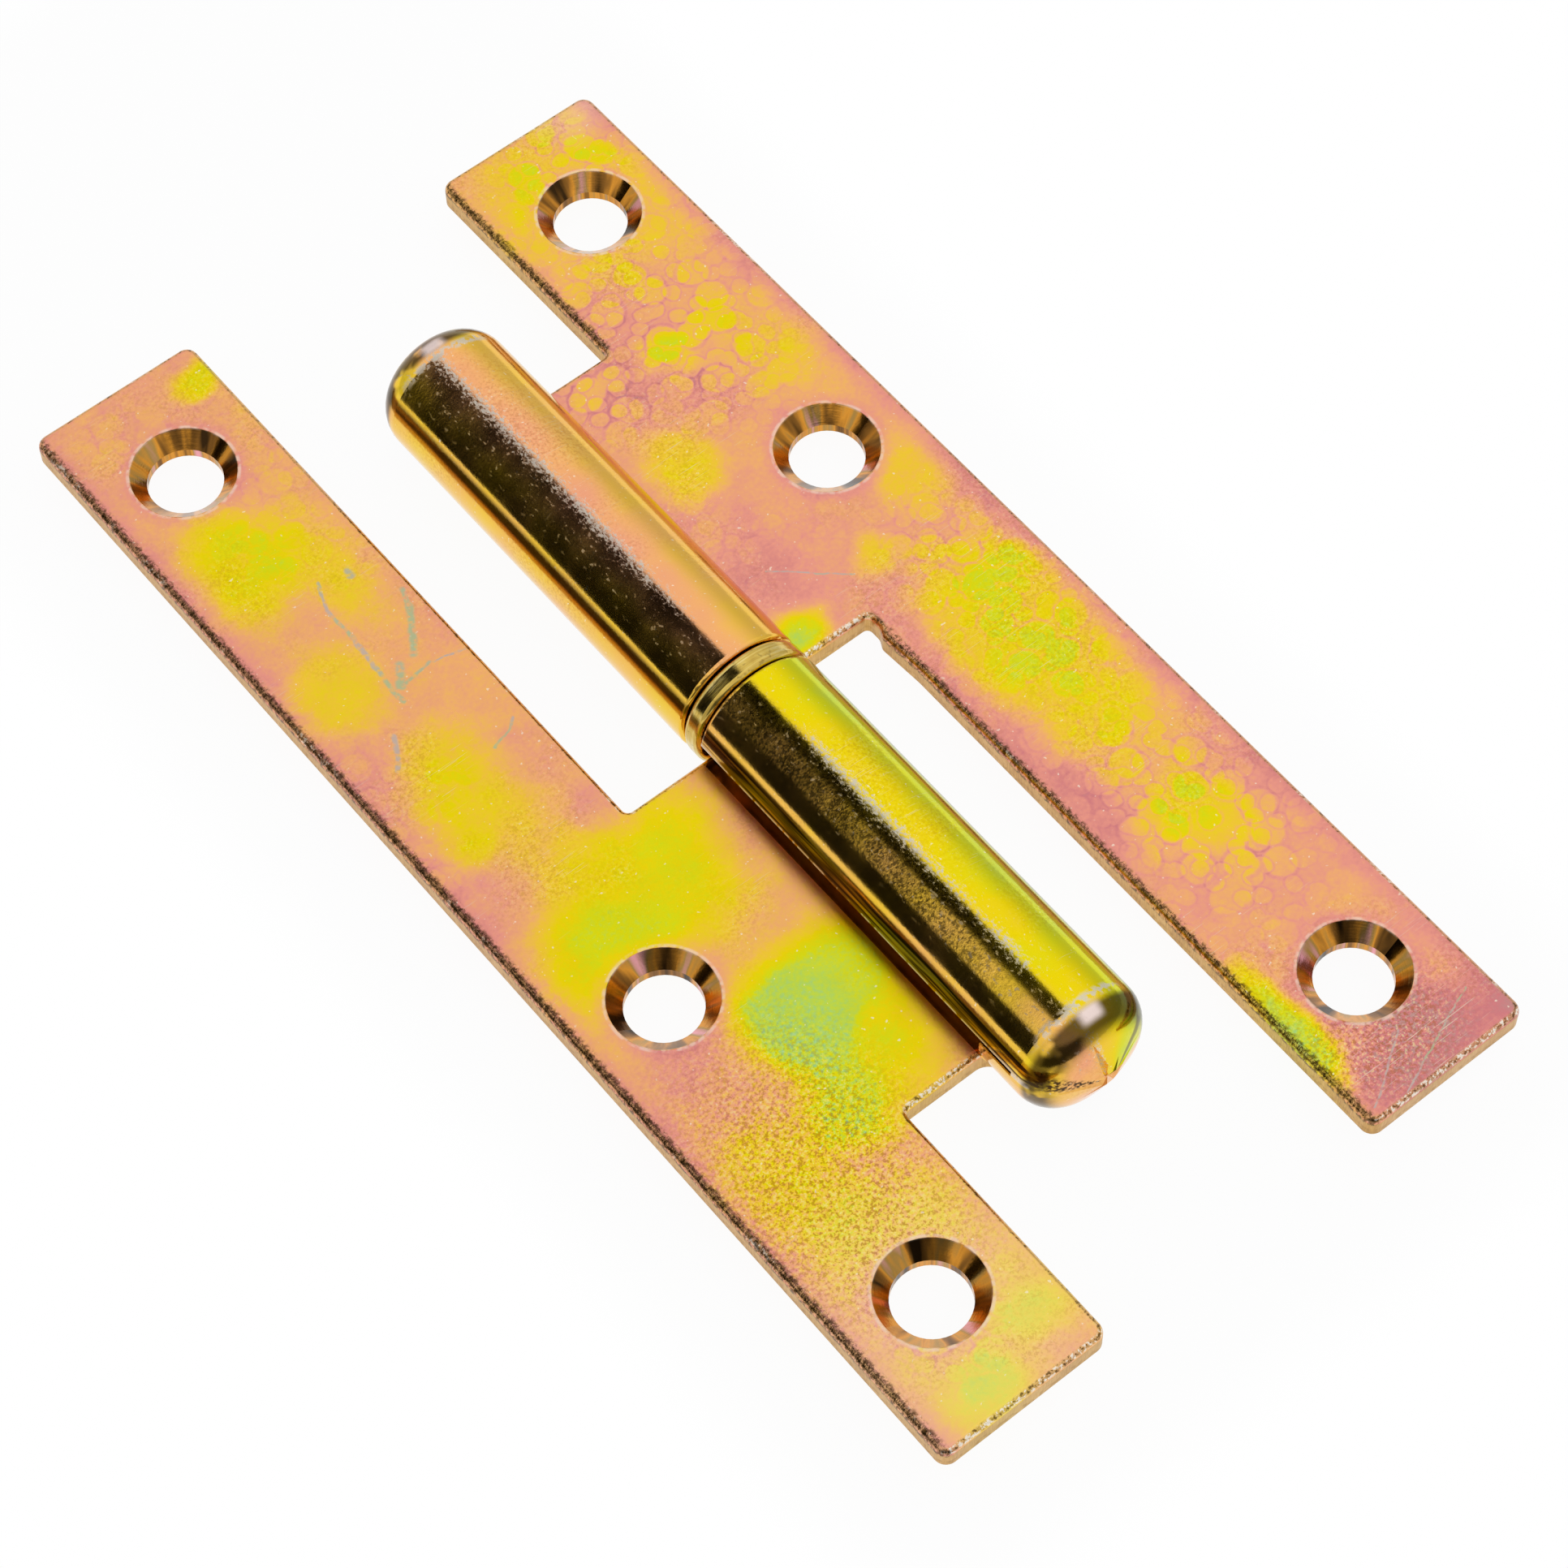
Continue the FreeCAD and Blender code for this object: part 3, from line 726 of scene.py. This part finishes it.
def level_sheet(half, count):
    """Level square: x and y run over -half to half on a grid, z is 0 throughout."""
    line = np.linspace(-half, half, count)
    x, y = np.meshgrid(line, line, indexing="ij")
    places = np.stack([x, y, np.zeros_like(x)], -1).reshape(-1, 3)
    corner = (np.arange(count - 1)[:, None] * count + np.arange(count - 1)).ravel()
    quads = np.stack([corner, corner + count, corner + count + 1, corner + 1], -1)
    return places, quads


places, quads = level_sheet(3.0, 9)
mesh = bpy.data.meshes.new("table")
mesh.from_pydata(places.tolist(), [], quads.tolist())
table = bpy.data.objects.new("table", mesh)
bpy.context.scene.collection.objects.link(table)

card = bpy.data.materials.new("white_card")
card.use_nodes = True
tree = card.node_tree
tree.nodes.clear()
matt = tree.nodes.new("ShaderNodeBsdfDiffuse")
matt.inputs["Color"].default_value = (0.92, 0.92, 0.92, 1)
glow = tree.nodes.new("ShaderNodeEmission")
rays = tree.nodes.new("ShaderNodeLightPath")
kinds = ("Is Camera Ray", "Is Glossy Ray", "Is Transmission Ray")
seen = either(*[Field(rays.outputs[kind]) for kind in kinds])
from_middle = vector(tree, "ABSOLUTE", vector(tree, "SUBTRACT", surface(tree)[0], MIDDLE))
beyond = vector(tree, "MAXIMUM", vector(tree, "SUBTRACT", from_middle, SHADED), (0, 0, 0))
shade = Field(vector(tree, "LENGTH", beyond, out=1)).step(4.0, 13.0, MATT, 0.0)
both = tree.nodes.new("ShaderNodeMixShader")
feed(both.inputs[0], seen * shade.away())
feed(both.inputs[1], matt.outputs[0])
feed(both.inputs[2], glow.outputs[0])
feed(tree.nodes.new("ShaderNodeOutputMaterial").inputs["Surface"], both.outputs[0])
mesh.materials.append(card)
print("table", len(quads), "faces")

# %% [markdown]
# ## The tent of light
# Polished metal shows what is around it, so the surroundings are part of the finish. A white tent covers
# the table and is brightest overhead. Its low near corner on the left is open and dark, which shapes the
# dome and the countersinks. On the left a slit is open too, with one pane of light in it: that slit draws
# the black band along both knuckles and the dark line on every left-hand rim. Lamps could be set up one
# by one, but the tent is one formula of direction, and no lamp is there to burn out a pale spot.

# %% Light the tent
CORNER_LOSS, SLIT_LOSS = 0.80, 0.99         # share of the light that is missing there
PANE_LIGHT = 0.95                           # share that the pane gives back to the slit

world = bpy.data.worlds.new("tent")
bpy.context.scene.world = world
world.use_nodes = True
tree = world.node_tree
dx, dy, dz = parts(tree, tree.nodes.new("ShaderNodeTexCoord").outputs["Generated"])
roof = dz.step(0.15, 0.80, 0.68, 1.0)
corner = dx.step(-0.15, 0.10, 1.0, 0.0) * dy.step(-0.45, -0.20, 1.0, 0.0)
corner = corner * dz.step(0.50, 0.68, 1.0, 0.0)
slit = dx.step(0.02, 0.10, 1.0, 0.0) * dy.step(0.20, 0.28) * dy.step(0.53, 0.60, 1.0, 0.0)
pane = dz.step(0.48, 0.56) * dz.step(0.85, 0.90, 1.0, 0.0) * dy.step(0.335, 0.405, 1.0, 0.0)
dark = slit * pane.scaled(-PANE_LIGHT, 1.0)
light = roof * corner.scaled(-CORNER_LOSS, 1.0) * dark.scaled(-SLIT_LOSS, 1.0)
tent = tree.nodes["Background"]
feed(tent.inputs["Strength"], light)
tent.inputs["Color"].default_value = (1, 1, 1, 1)
plain = tree.nodes.new("ShaderNodeBackground")
plain.inputs["Color"].default_value = (1, 1, 1, 1)
pick = tree.nodes.new("ShaderNodeMixShader")
feed(pick.inputs[0], tree.nodes.new("ShaderNodeLightPath").outputs["Is Camera Ray"])
feed(pick.inputs[1], tent.outputs[0])
feed(pick.inputs[2], plain.outputs[0])
feed(tree.nodes["World Output"].inputs["Surface"], pick.outputs[0])
bpy.context.scene.view_settings.view_transform = "Standard"
print("tent has", len(tree.nodes), "nodes")
